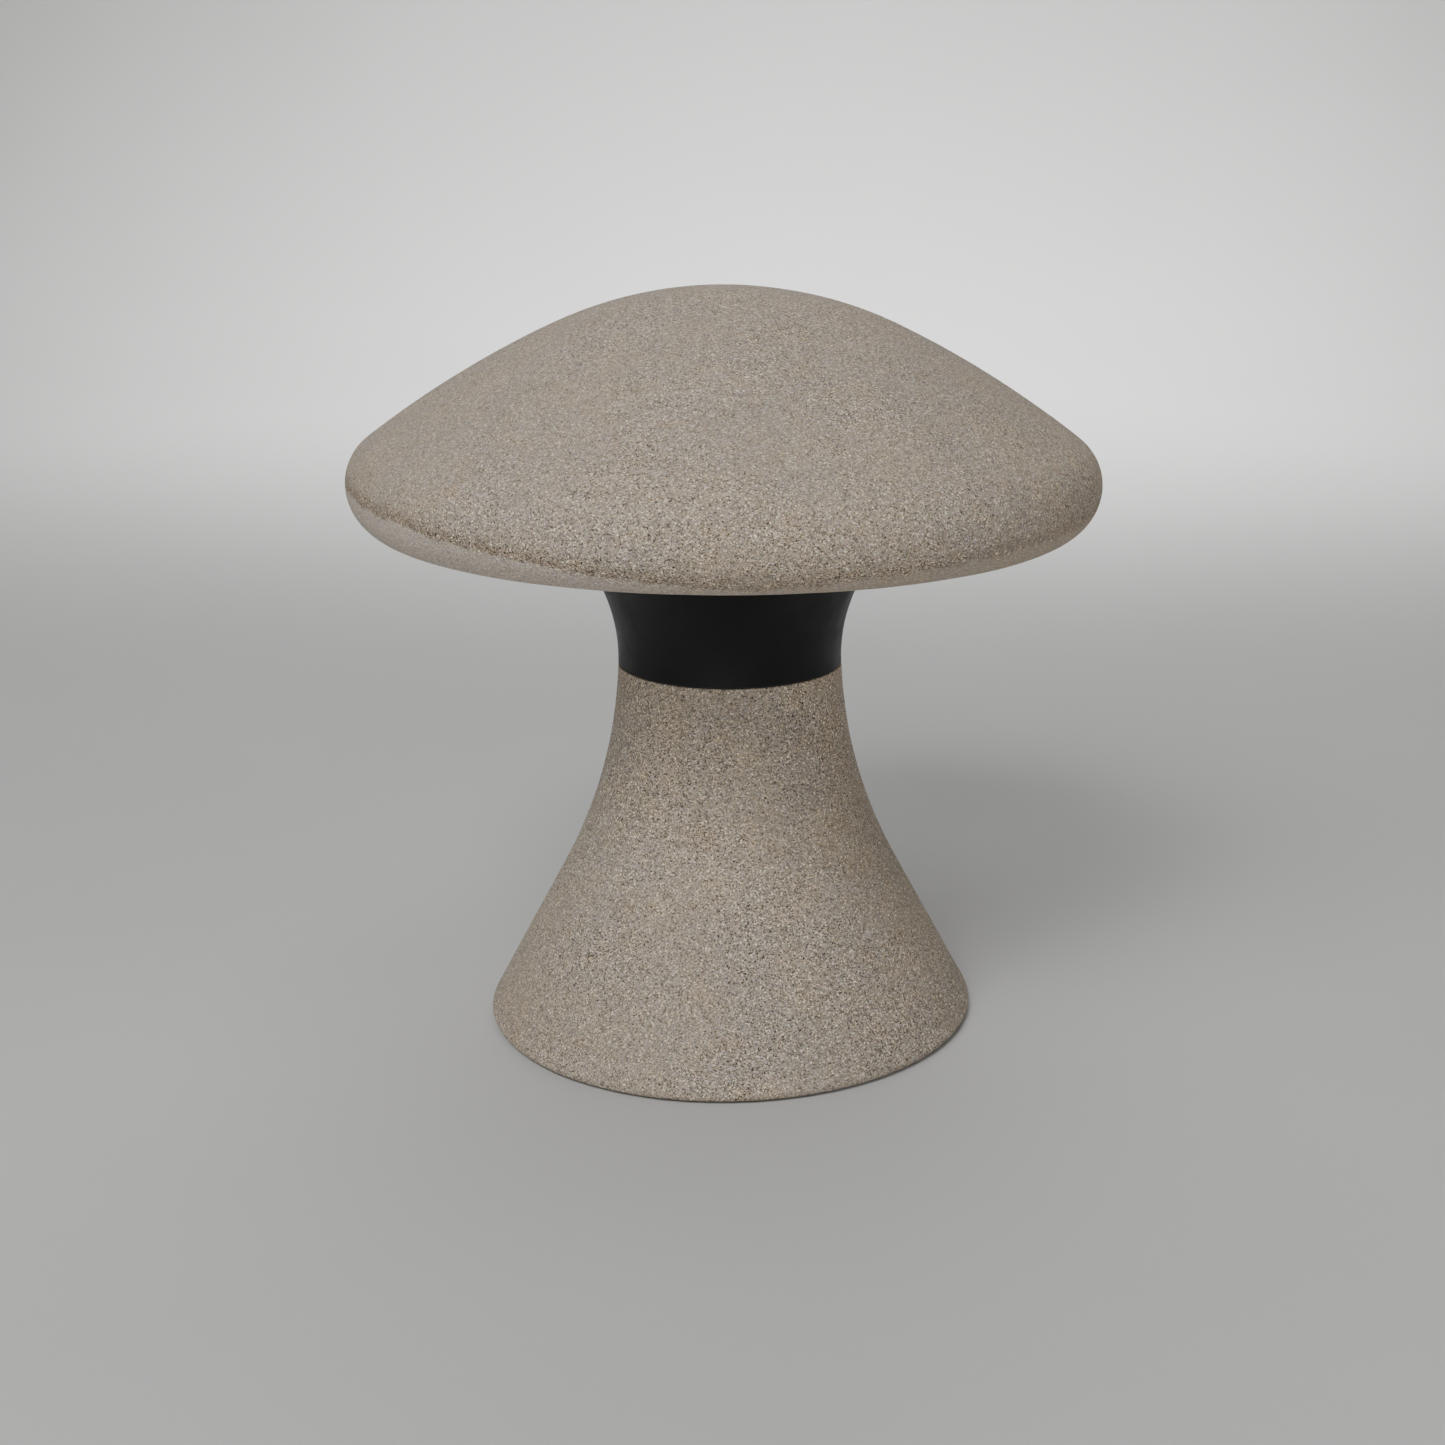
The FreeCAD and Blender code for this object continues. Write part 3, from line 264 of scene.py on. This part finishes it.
def base_outline():
    across = FOOT_RADIUS - NECK_RADIUS - (NECK_HEIGHT - BASE_FOOT) * math.tan(FLANK_LEAN)
    bend = (math.cos(NECK_LEAN) - math.cos(FLANK_LEAN)
            - (math.sin(FLANK_LEAN) - math.sin(NECK_LEAN)) * math.tan(FLANK_LEAN))
    flare = across / bend
    centre = (NECK_RADIUS + flare * math.cos(NECK_LEAN), NECK_HEIGHT + flare * math.sin(NECK_LEAN))
    lean_end = math.pi + FLANK_LEAN
    flare_end = (centre[0] + flare * math.cos(lean_end), centre[1] + flare * math.sin(lean_end))
    wall = flare + BASE_WALL

    # the foot's rounding touches the flank and the underside
    reach = FOOT_ROUND / math.tan((UP - FLANK_LEAN) / 2)
    foot = (FOOT_RADIUS - reach, BASE_FOOT + FOOT_ROUND)
    foot_start = (FOOT_RADIUS - math.sin(FLANK_LEAN) * reach, BASE_FOOT + math.cos(FLANK_LEAN) * reach)

    # the top's rounding touches the flare and the joint face
    top = BASE_TOP - TOP_ROUND
    top_at = math.pi + math.asin((centre[1] - top) / (flare + TOP_ROUND))
    top_middle = (centre[0] + (flare + TOP_ROUND) * math.cos(top_at), top)

    ledge_at = math.pi + math.asin((centre[1] - LEDGE) / wall)
    inner_end = (centre[0] + wall * math.cos(lean_end), centre[1] + wall * math.sin(lean_end))
    hem = inner_end[0] + (inner_end[1] - BASE_FOOT) * math.tan(FLANK_LEAN)
    in_groove, out_groove, groove_top = GROOVE
    return merged(
        arc(top_middle, TOP_ROUND, UP, top_at - math.pi, 4),
        arc(centre, flare, top_at, lean_end, 64),
        line(flare_end, foot_start, 14),
        arc(foot, FOOT_ROUND, FLANK_LEAN, -UP, 8),
        line((foot[0], BASE_FOOT), (out_groove, BASE_FOOT)),
        line((out_groove, BASE_FOOT), (out_groove, groove_top)),
        line((out_groove, groove_top), (in_groove, groove_top)),
        line((in_groove, groove_top), (in_groove, BASE_FOOT)),
        line((in_groove, BASE_FOOT), (hem, BASE_FOOT)),
        line((hem, BASE_FOOT), inner_end, 3),
        arc(centre, wall, lean_end, ledge_at, 12),
        line((NECK_BORE, LEDGE), (NECK_BORE, SOCKET_FLOOR)),
        line((NECK_BORE, SOCKET_FLOOR), (SOCKET, SOCKET_FLOOR)),
        line((SOCKET, SOCKET_FLOOR), (SOCKET, BASE_TOP)),
    )


def build_cap():
    crown = CAP_TOP - CROWN_RADIUS

    def outer(co):
        across = math.hypot(co.x, co.y)
        if across > CAP_RECESS + LIP_ROUND:
            return True
        on_top = math.hypot(across, co.z - crown) > CROWN_RADIUS - CAP_WALL / 2
        return across > CREST and co.z > CAP_SEAT and on_top

    mesh = turned(cap_outline(), closed_on_axis=True)
    roughened(mesh, outer)
    pitted(mesh, "cap", outer)
    cap = new_object("stone_cap", mesh)
    radius, circle, depth = INSERT_HOLE
    low, top = CAP_SEAT - MM, CAP_SEAT + depth
    drilled(cap, [rod(radius, at_angle(circle, a, low), at_angle(circle, a, top)) for a in INSERT_ANGLES])
    stands_for(cap, "cap")
    return cap


def build_base():
    def outer(co):
        flank = FOOT_RADIUS - (co.z - BASE_FOOT) * math.tan(FLANK_LEAN)
        middle = max(flank - BASE_WALL / 2, (SOCKET + NECK_RADIUS) / 2)
        between = BASE_FOOT + EDGE_MARGIN < co.z < BASE_TOP - TOP_ROUND * 2
        return between and math.hypot(co.x, co.y) > middle

    mesh = turned(base_outline())
    roughened(mesh, outer)
    pitted(mesh, "base", outer)
    base = new_object("stone_base", mesh)
    inside, beyond = GROOVE[0] - 2 * BASE_WALL, FOOT_RADIUS + 5 * MM
    drilled(base, [rod(SCREW_HOLE, at_angle(inside, a, SCREW_HEIGHT), at_angle(beyond, a, SCREW_HEIGHT))
                   for a in SCREW_ANGLES])
    stands_for(base, "base")
    return base


# ---- materials ----

class Nodes:
    """Short calls for building a node material. Coordinates are the object's own, in metres."""

    def __init__(self, name):
        self.material = bpy.data.materials.new(name)
        self.material.use_nodes = True
        self.tree = self.material.node_tree
        self.shader = self.tree.nodes["Principled BSDF"]
        self.place = self.add("ShaderNodeTexCoord").outputs["Object"]

    def add(self, kind, **settings):
        node = self.tree.nodes.new(kind)
        for key, value in settings.items():
            setattr(node, key, value)
        return node

    def join(self, value, socket):
        if hasattr(value, "is_output"):
            self.tree.links.new(value, socket)
        elif hasattr(value, "__len__") and len(socket.default_value) == 4:
            socket.default_value = (*value, 1.0)
        else:
            socket.default_value = value

    def noise(self, scale, detail=2.0, rough=0.5, place=None):
        node = self.add("ShaderNodeTexNoise")
        self.join(place or self.place, node.inputs["Vector"])
        self.join(scale, node.inputs["Scale"])
        self.join(detail, node.inputs["Detail"])
        self.join(rough, node.inputs["Roughness"])
        return node.outputs["Fac"]

    def cells(self, scale):
        """Voronoi cells: three even random numbers for each cell, and the distance from its middle."""
        node = self.add("ShaderNodeTexVoronoi")
        self.join(self.place, node.inputs["Vector"])
        self.join(scale, node.inputs["Scale"])
        split = self.add("ShaderNodeSeparateColor")
        self.join(node.outputs["Color"], split.inputs[0])
        return (*split.outputs[:3], node.outputs["Distance"])

    def ramp(self, value, stops):
        node = self.add("ShaderNodeValToRGB")
        bar = node.color_ramp.elements
        while len(bar) < len(stops):
            bar.new(0.5)
        for element, (position, colour) in zip(bar, stops):
            element.position = position
            element.color = (*colour, 1.0)
        self.join(value, node.inputs["Fac"])
        return node.outputs["Color"]

    def math(self, operation, a, b=0.0, c=0.0):
        node = self.add("ShaderNodeMath", operation=operation)
        for value, socket in zip((a, b, c), node.inputs):
            self.join(value, socket)
        return node.outputs[0]

    def spread(self, value, low, high, to_low=0.0, to_high=1.0):
        """Smoothly maps low..high to to_low..to_high."""
        node = self.add("ShaderNodeMapRange", interpolation_type="SMOOTHSTEP")
        keys = ("Value", "From Min", "From Max", "To Min", "To Max")
        for given, key in zip((value, low, high, to_low, to_high), keys):
            self.join(given, node.inputs[key])
        return node.outputs["Result"]

    def mix(self, share, a, b, blend="MIX"):
        """Mixes two colours. The node keeps its colour sockets behind those for numbers and vectors."""
        node = self.add("ShaderNodeMix", data_type="RGBA", blend_type=blend)
        for value, socket in zip((share, a, b), (node.inputs[0], *node.inputs[6:8])):
            self.join(value, socket)
        return node.outputs[2]

    def scaled(self, colour, factor):
        node = self.add("ShaderNodeVectorMath", operation="SCALE")
        self.join(colour, node.inputs[0])
        self.join(factor, node.inputs["Scale"])
        return node.outputs[0]

    def bump(self, height, distance, strength=1.0, below=None):
        node = self.add("ShaderNodeBump")
        self.join(height, node.inputs["Height"])
        self.join(distance, node.inputs["Distance"])
        self.join(strength, node.inputs["Strength"])
        if below:
            self.join(below, node.inputs["Normal"])
        return node.outputs["Normal"]

    def finish(self, colour, roughness, normal=None, **constants):
        self.join(colour, self.shader.inputs["Base Color"])
        self.join(roughness, self.shader.inputs["Roughness"])
        if normal:
            self.join(normal, self.shader.inputs["Normal"])
        for key, value in constants.items():
            self.shader.inputs[key.replace("_", " ")].default_value = value
        return self.material


def times(colour, factors):
    return tuple(v * k for v, k in zip(colour, factors))


GRAIN = 2000.0             # sand grains per metre
COARSE = 1500.0            # the coarser specks that stand out singly, per metre
SINGLE_SHARE = 0.017       # share of the coarser specks that are pale, partly painted glints, and as many are dark, partly painted shade of small pits
LIGHTEST = 2.9             # the palest grain's shade
STONE_TONES = (            # share of the grains, and their shade against the stone's mean
    (0.00, 0.04),
    (0.04, 0.20),
    (0.11, 0.44),
    (0.23, 0.68),
    (0.40, 0.88),
    (0.60, 1.06),
    (0.78, 1.27),
    (0.90, 1.62),
    (0.97, 2.20),
    (1.00, LIGHTEST),
)
STONE_TINTS = (            # the grains' hues, from tan through olive and rose to blue grey
    (0.00, (1.13, 0.99, 0.80)),
    (0.25, (0.96, 1.05, 0.92)),
    (0.50, (1.00, 0.99, 1.00)),
    (0.75, (1.07, 0.94, 1.05)),
    (1.00, (0.88, 1.01, 1.16)),
)
STONE_MEAN = (0.396, 0.334, 0.261)
COOL_PATCH = (0.945, 0.975, 1.03)      # the patches' and the rim's shades, against the stone's mean
WARM_PATCH = (1.02, 0.975, 0.90)
RIM_BAND = (0.52, 0.47, 0.42)
RIM_LIP = (1.18, 1.23, 1.35)
# pale specks: partly pale grains, partly painted glints
PALE_GRAIN_AND_PAINTED_GLINT = (0.95, 0.87, 0.66)
# dark specks: partly dark grains, partly the painted shade of small pits
DARK_GRAIN_AND_PAINTED_PIT_SHADE = (0.085, 0.072, 0.060)

CONTRAST_DRIFT = 0.14      # how much the grains' contrast varies over the stone
CONTRAST_SIZE = 15.0       # lumps of noise per metre, here and below
COOL_SIZE = 26.0
WARM_SIZE = 85.0
WARM_MOST = 0.6
ROUGH_SIZE = 420.0
GRAIN_RELIEF = 0.10 * MM
ROUGH_RELIEF = 0.04 * MM

BAND_HEIGHT = 254.8 * MM   # lower edge of the coarse band at the front
BAND_LEFT = 0.110          # how far the edge climbs to the left, for each unit beyond where it starts
BAND_LEFT_START = 10 * MM
BAND_RIGHT = 0.070
BAND_RIGHT_START = 25 * MM
BAND_WANDER = 7 * MM
BAND_FADE = (0.5 * MM, 7.5 * MM)       # where the band fades out, above its lower edge
LIP_FADE = (-3.0 * MM, -0.3 * MM)
BAND_DEPTH = (0.60, 0.28)              # how strong the band is at the left and at the right
LIP_SHARE = (0.95, 0.12)               # how pale the lip is there
LIP_CONTRAST = -0.45
BAND_CONTRAST = 0.5


def rim_zones(n, x, height):
    """How far a point is in the coarse band round the cap's rim, and how far in the lip below it."""
    left = n.math("MAXIMUM", n.math("SUBTRACT", BAND_LEFT_START, x), 0.0)
    right = n.math("MAXIMUM", n.math("SUBTRACT", x, BAND_RIGHT_START), 0.0)
    edge = n.math("MULTIPLY_ADD", left, BAND_LEFT, BAND_HEIGHT)
    edge = n.math("MULTIPLY_ADD", right, BAND_RIGHT, edge)
    wander = n.math("MULTIPLY_ADD", n.noise(70.0, 4.0, 0.65), BAND_WANDER, -BAND_WANDER / 2)
    above = n.math("SUBTRACT", height, n.math("ADD", edge, wander))
    lip = n.spread(above, *LIP_FADE, 1.0, 0.0)
    faded = n.spread(above, *BAND_FADE, 1.0, 0.0)
    depth = n.spread(x, -130 * MM, 30 * MM, *BAND_DEPTH)
    band = n.math("MULTIPLY", n.math("MULTIPLY", faded, n.math("SUBTRACT", 1.0, lip)), depth)
    return band, lip


def stone(name, contrast, banded):
    """Sandy cast stone: fine grains of mixed shade, a few dark specks that are partly dark grains and
    partly the painted shade of small pits, pale specks that are partly pale grains and partly painted
    glints, and faint cool and warm patches. The cap has a band of bare coarse sand round its rim above a
    smoother lip."""
    n = Nodes(name)
    tone, tint, lift, away = n.cells(GRAIN)
    shade = n.ramp(tone, [(at, (v / LIGHTEST,) * 3) for at, v in STONE_TONES])
    shade = n.math("MULTIPLY", shade, LIGHTEST)
    limits = (contrast - CONTRAST_DRIFT, contrast + CONTRAST_DRIFT)
    strength = n.spread(n.noise(CONTRAST_SIZE, 1.0), 0.35, 0.65, *limits)
    cool = n.spread(n.noise(COOL_SIZE, 3.0), 0.36, 0.66)
    mean = n.mix(cool, STONE_MEAN, times(STONE_MEAN, COOL_PATCH))
    warm = n.spread(n.noise(WARM_SIZE, 2.0), 0.50, 0.72, 0.0, WARM_MOST)
    mean = n.mix(warm, mean, times(STONE_MEAN, WARM_PATCH))
    if banded:
        axis = n.add("ShaderNodeSeparateXYZ")
        n.join(n.place, axis.inputs[0])
        x, _, height = axis.outputs
        band, lip = rim_zones(n, x, height)
        mean = n.mix(band, mean, times(STONE_MEAN, RIM_BAND))
        pale = n.math("MULTIPLY", lip, n.spread(x, -60 * MM, 60 * MM, *LIP_SHARE))
        mean = n.mix(pale, mean, times(STONE_MEAN, RIM_LIP))
        strength = n.math("MULTIPLY", strength, n.math("MULTIPLY_ADD", lip, LIP_CONTRAST, 1.0))
        strength = n.math("MULTIPLY", strength, n.math("MULTIPLY_ADD", band, BAND_CONTRAST, 1.0))
    shade = n.math("MULTIPLY_ADD", n.math("SUBTRACT", shade, 1.0), strength, 1.0)
    tinted = n.mix(1.0, mean, n.ramp(tint, STONE_TINTS), blend="MULTIPLY")
    colour = n.scaled(tinted, shade)
    single = n.cells(COARSE)[0]
    pale = n.math("GREATER_THAN", single, 1.0 - SINGLE_SHARE)
    dark = n.math("LESS_THAN", single, SINGLE_SHARE)
    # the pale specks: pale grains and painted glints
    colour = n.mix(n.math("MULTIPLY", pale, strength), colour, PALE_GRAIN_AND_PAINTED_GLINT)
    # the dark specks: dark grains and the painted shade of small pits
    colour = n.mix(n.math("MULTIPLY", dark, strength), colour, DARK_GRAIN_AND_PAINTED_PIT_SHADE)
    relief = n.math("MULTIPLY", n.math("SUBTRACT", lift, away), 0.6)
    normal = n.bump(relief, GRAIN_RELIEF, 0.6)
    normal = n.bump(n.noise(ROUGH_SIZE, 2.0), ROUGH_RELIEF, 0.5, below=normal)
    rough = n.spread(tint, 0.0, 1.0, 0.80, 0.95)
    return n.finish(colour, rough, normal, Specular_IOR_Level=0.35)


def surface(name, light, dark, size, roughness, relief, **constants):
    """A made surface: two shades that drift over a given size, a range of roughness, and a fine
    relief given as (depth, grain size)."""
    n = Nodes(name)
    depth, grain = relief
    colour = n.mix(n.spread(n.noise(1 / size, 3.0), 0.35, 0.65), light, dark)
    rough = n.spread(n.noise(2.3 / size, 4.0), 0.3, 0.7, *roughness)
    normal = n.bump(n.noise(1 / grain, 3.0, 0.6), depth)
    return n.finish(colour, rough, normal, **constants)


def spangled(name, light, dark, size, roughness, **constants):
    """Zinc-coated steel with its crystal spangle."""
    n = Nodes(name)
    tone, other, _, _ = n.cells(1 / size)
    colour = n.mix(tone, light, dark)
    rough = n.spread(other, 0.0, 1.0, *roughness)
    normal = n.bump(n.noise(900.0, 3.0), 0.02 * MM)
    return n.finish(colour, rough, normal, **constants)


def brushed(name, light, dark, roughness, **constants):
    """Machined metal with fine turning marks round Z."""
    n = Nodes(name)
    stretch = n.add("ShaderNodeMapping", vector_type="POINT")
    n.join(n.place, stretch.inputs["Vector"])
    stretch.inputs["Scale"].default_value = (1.0, 1.0, 8.0)
    marks = n.noise(700.0, 4.0, 0.6, place=stretch.outputs[0])
    colour = n.mix(n.spread(marks, 0.3, 0.7), light, dark)
    rough = n.spread(n.noise(150.0, 3.0), 0.3, 0.7, *roughness)
    return n.finish(colour, rough, n.bump(marks, 0.01 * MM), **constants)


def weave(name, light, dark, trace, roughness, **constants):
    """A printed circuit board: solder resist over copper tracks and glass cloth."""
    n = Nodes(name)
    colour = n.mix(n.spread(n.noise(1400.0, 1.0), 0.35, 0.65), light, dark)
    copper = n.spread(n.cells(260.0)[0], 0.72, 0.74)
    colour = n.mix(n.math("MULTIPLY", copper, 0.7), colour, trace)
    rough = n.spread(copper, 0.0, 1.0, *roughness)
    return n.finish(colour, rough, n.bump(copper, 0.03 * MM), **constants)


def all_materials():
    """Every material slot of the record and its finish."""
    metal = {"Metallic": 1.0}
    return {
        "cap_stone": stone("cap_stone", 0.80, True),
        "base_stone": stone("base_stone", 1.0, False),
        "black_coating": surface(
            "black_coating", (0.0040, 0.0040, 0.0049), (0.0031, 0.0031, 0.0038), 30 * MM, (0.40, 0.50),
            (0.006 * MM, 0.55 * MM), Specular_IOR_Level=0.25),
        "cast_aluminium": surface(
            "cast_aluminium", (0.62, 0.62, 0.62), (0.54, 0.54, 0.55), 20 * MM, (0.38, 0.55),
            (0.03 * MM, 1.2 * MM), **metal),
        "opal_acrylic": surface(
            "opal_acrylic", (0.82, 0.81, 0.78), (0.79, 0.78, 0.75), 45 * MM, (0.28, 0.36),
            (0.004 * MM, 2.0 * MM), Subsurface_Weight=0.25, Subsurface_Scale=0.004),
        "brass": brushed("brass", (0.72, 0.52, 0.22), (0.60, 0.42, 0.17), (0.25, 0.42), **metal),
        "seal_rubber": surface(
            "seal_rubber", (0.030, 0.029, 0.028), (0.020, 0.020, 0.020), 8 * MM, (0.62, 0.80),
            (0.02 * MM, 0.5 * MM), Specular_IOR_Level=0.3),
        "foot_rubber": surface(
            "foot_rubber", (0.036, 0.035, 0.034), (0.024, 0.023, 0.023), 12 * MM, (0.70, 0.88),
            (0.04 * MM, 0.8 * MM), Specular_IOR_Level=0.3),
        "light_board": surface(
            "light_board", (0.78, 0.78, 0.76), (0.73, 0.74, 0.72), 25 * MM, (0.30, 0.42),
            (0.01 * MM, 0.9 * MM)),
        "led_phosphor": surface(
            "led_phosphor", (0.80, 0.62, 0.16), (0.74, 0.54, 0.12), 1.2 * MM, (0.35, 0.50),
            (0.01 * MM, 0.3 * MM)),
        "white_nylon": surface(
            "white_nylon", (0.70, 0.69, 0.64), (0.64, 0.63, 0.58), 6 * MM, (0.40, 0.55),
            (0.01 * MM, 0.4 * MM)),
        "black_plastic": surface(
            "black_plastic", (0.018, 0.018, 0.018), (0.012, 0.012, 0.012), 7 * MM, (0.42, 0.58),
            (0.02 * MM, 0.35 * MM)),
        "zinc_plate": spangled(
            "zinc_plate", (0.60, 0.61, 0.62), (0.52, 0.53, 0.545), 9 * MM, (0.38, 0.50), **metal),
        "driver_plastic": surface(
            "driver_plastic", (0.66, 0.66, 0.64), (0.60, 0.60, 0.58), 15 * MM, (0.42, 0.56),
            (0.02 * MM, 0.4 * MM)),
        "circuit_board": weave(
            "circuit_board", (0.020, 0.105, 0.040), (0.014, 0.085, 0.032), (0.05, 0.17, 0.06),
            (0.38, 0.30)),
        "component_plastic": surface(
            "component_plastic", (0.052, 0.040, 0.030), (0.034, 0.028, 0.024), 4 * MM, (0.38, 0.55),
            (0.015 * MM, 0.4 * MM)),
        "cable_sheath": surface(
            "cable_sheath", (0.022, 0.022, 0.022), (0.015, 0.015, 0.015), 14 * MM, (0.45, 0.60),
            (0.02 * MM, 0.6 * MM)),
        "grey_plastic": surface(
            "grey_plastic", (0.36, 0.37, 0.37), (0.31, 0.32, 0.32), 12 * MM, (0.42, 0.56),
            (0.02 * MM, 0.4 * MM)),
        "stainless": brushed("stainless", (0.62, 0.61, 0.60), (0.50, 0.49, 0.48), (0.22, 0.38), **metal),
    }


def coat(piece, material):
    piece.data.materials.clear()
    piece.data.materials.append(material)


def paint(materials):
    """Gives every CAD node, and every piece that stands for one, the finish of its slot."""
    for row in frame["record"]["subparts"]:
        coat(frame["nodes"][row["node"]], materials[row["material_slot"]])
    coat(build_cap(), materials["cap_stone"])
    coat(build_base(), materials["base_stone"])


paint(all_materials())


# ---- floor, light and camera ----

def build_stage():
    """A paper floor that curves up into a wall all round."""
    flat, bend, top = 2.6, 1.0, 3.2
    drift, mottle = 0.4, (0.02 * MM, 2 * MM)
    outline = merged(line((0.0, 0.0), (flat, 0.0), 4), arc((flat, bend), bend, -UP, 0.0, 12),
                     line((flat + bend, bend), (flat + bend, top), 2))
    floor = new_object("floor", turned(outline, closed_on_axis=True))
    light, dark = (0.63, 0.63, 0.622), (0.615, 0.615, 0.607)
    coat(floor, surface("floor_paper", light, dark, drift, (0.85, 0.92), mottle))


LIGHTS = (                 # name, place, what it points at, width, height, watts, spread in degrees
    ("key_left", (-0.9, -1.6, 1.9), (0, 0, 0.2), 1.2, 1.0, 20.4, 180),
    ("key_front", (-0.4, -1.7, 2.1), (0, 0, 0.2), 0.8, 0.8, 17.0, 180),
    ("low_front", (-0.2, -2.3, 0.55), (0, 0, 0.2), 1.6, 0.8, 10.8, 180),
    ("overhead", (0, 0.1, 2.6), (0, 0, 0.2), 1.4, 1.4, 9.2, 180),
    ("right_fill", (2.2, -0.6, 0.9), (0, 0, 0.2), 1.0, 1.2, 3.6, 180),
    ("back", (0, 1.6, 1.8), (0, 0, 0.2), 1.6, 0.8, 11.0, 180),
    ("backdrop", (0, 1.7, 2.5), (0, 2.7, 0), 1.6, 1.0, 44.0, 80),
)
SKY = 0.03


def area_light(name, place, target, width, height, power, spread):
    data = bpy.data.lights.new(name, "AREA")
    data.shape = "RECTANGLE"
    data.size = width
    data.size_y = height
    data.energy = power
    data.spread = math.radians(spread)
    light = bpy.data.objects.new(name, data)
    light.location = place
    light.rotation_euler = (Vector(target) - Vector(place)).to_track_quat("-Z", "Y").to_euler()
    light.visible_camera = False
    bpy.context.scene.collection.objects.link(light)


def build_light():
    world = bpy.data.worlds.new("studio")
    world.use_nodes = True
    background = world.node_tree.nodes["Background"]
    background.inputs["Color"].default_value = (1, 1, 1, 1)
    background.inputs["Strength"].default_value = SKY
    bpy.context.scene.world = world
    for row in LIGHTS:
        area_light(*row)


CAMERA_PLACE = (0.0770, -0.9786, 0.4339)
CAMERA_PITCH = math.radians(16.19)
CAMERA_ROLL = math.radians(0.86)
FOCAL_SHARE = 1.417        # focal length over the picture's width
LENS_SHIFT = -0.1127       # the picture is framed off the lens's axis
SENSOR = 36.0


def build_camera():
    data = bpy.data.cameras.new("camera")
    data.sensor_width = SENSOR
    data.lens = SENSOR * FOCAL_SHARE
    data.shift_x = LENS_SHIFT
    data.clip_start = 0.01
    camera = bpy.data.objects.new("camera", data)
    look = Euler((UP - CAMERA_PITCH, 0, 0)).to_matrix() @ Euler((0, 0, CAMERA_ROLL)).to_matrix()
    camera.matrix_world = look.to_4x4()
    camera.location = CAMERA_PLACE
    bpy.context.scene.collection.objects.link(camera)
    bpy.context.scene.camera = camera


build_stage()
build_light()
build_camera()
